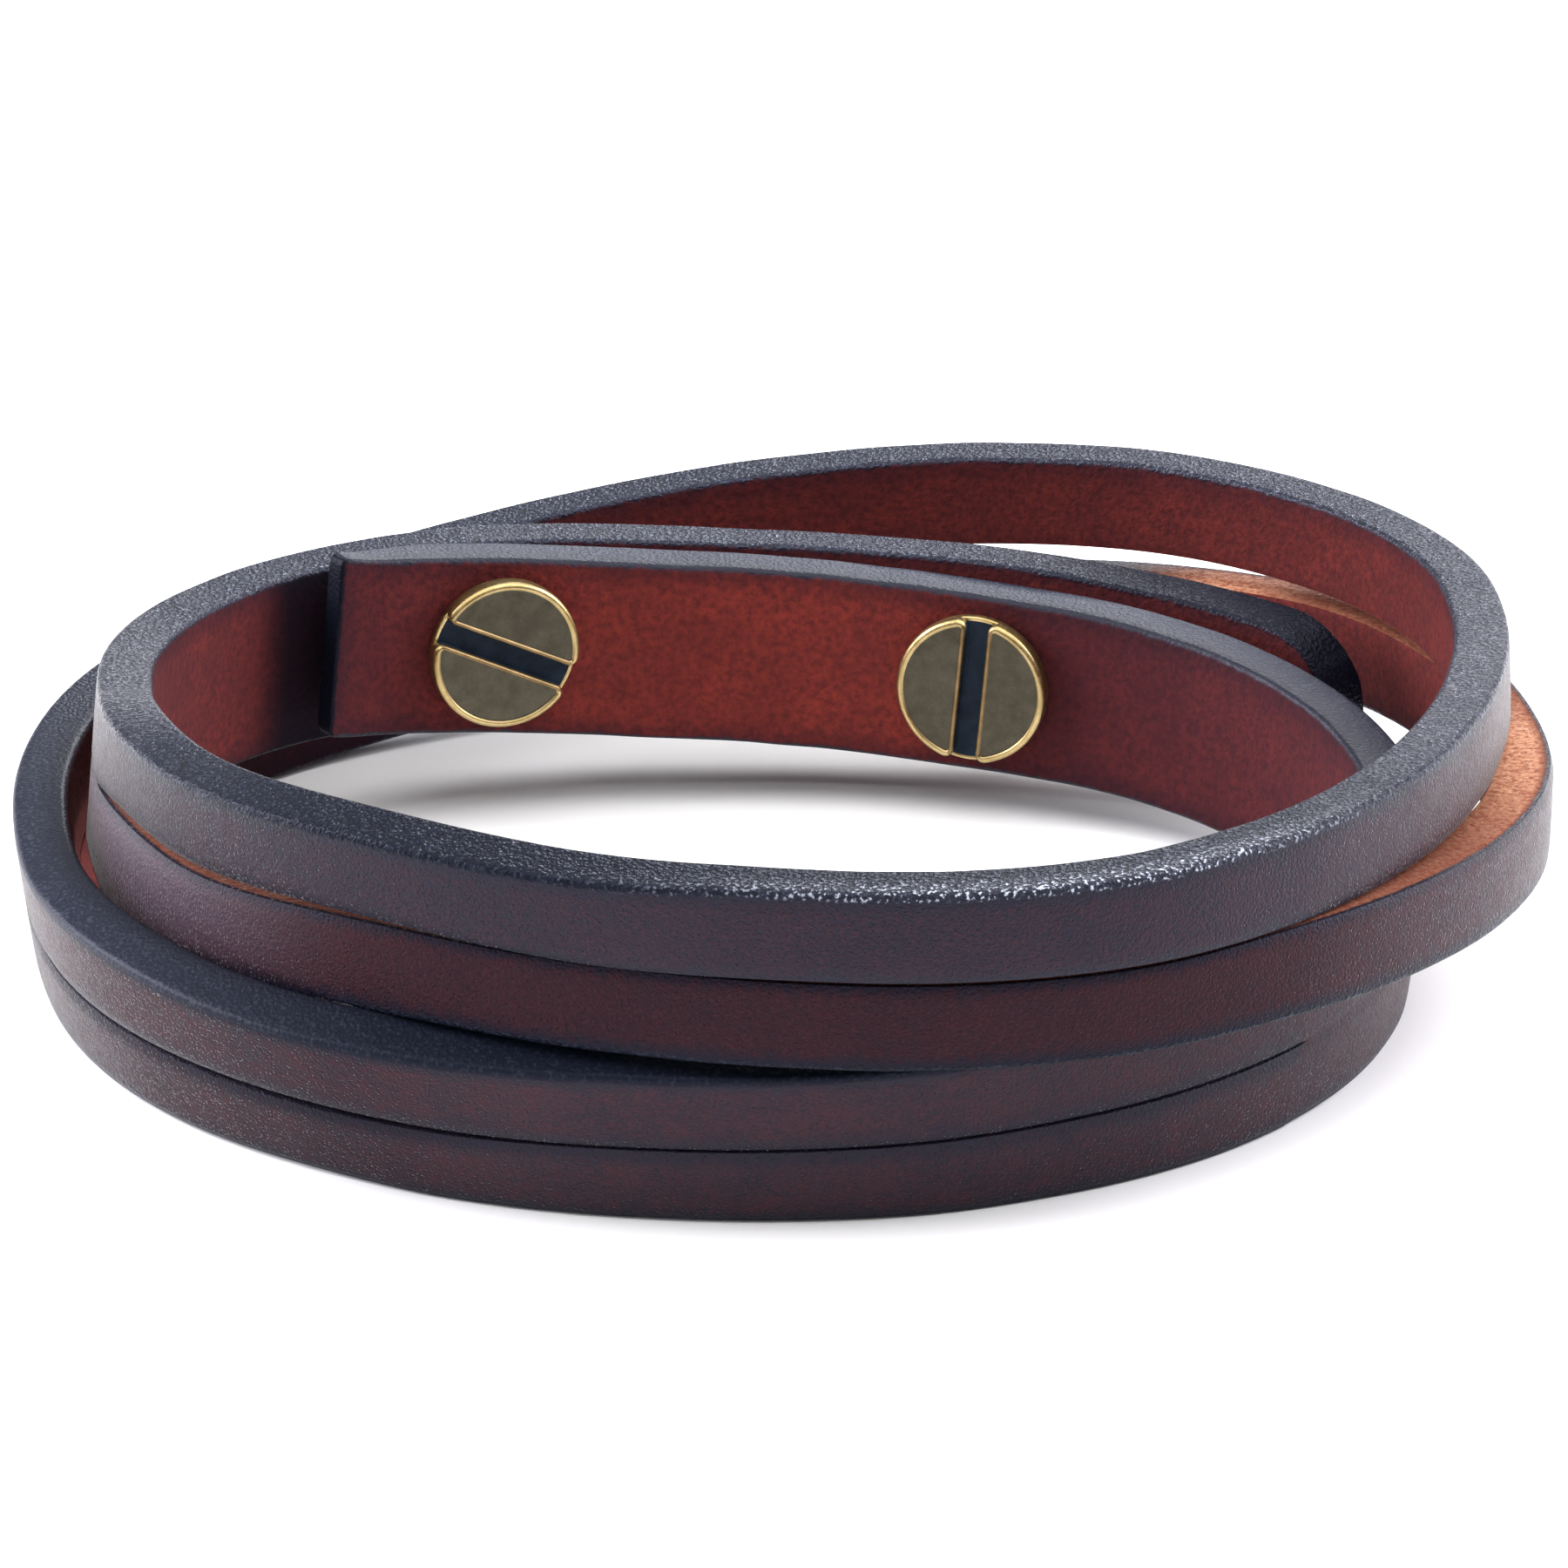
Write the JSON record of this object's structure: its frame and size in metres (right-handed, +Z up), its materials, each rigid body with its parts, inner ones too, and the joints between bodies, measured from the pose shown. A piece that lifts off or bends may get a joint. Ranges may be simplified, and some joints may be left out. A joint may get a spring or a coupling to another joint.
{
  "type": "leather wrap bracelet",
  "caption": "Slit leather strap wound twice around an open oval wrist hollow, its lapped ends closed by slotted screws in capped posts.",
  "frame": {"origin": "middle of the bracelet's box, at the level it lies on", "axes": "+Z up out of the wrist opening, +Y towards the lap with the screws at the back, +X to the right seen from the front"},
  "size_m": [0.0744, 0.0724, 0.0198],
  "materials": {
    "leather": "dark burgundy-brown smooth leather with burnished blue-black edges and a red-brown flesh side",
    "brass": "antique brass, brighter on rims and slot edges"
  },
  "bodies": {
    "root": {"strap": "leather", "screw_left": "brass", "post_left": "brass", "screw_right": "brass", "post_right": "brass"}
  },
  "joints": []
}
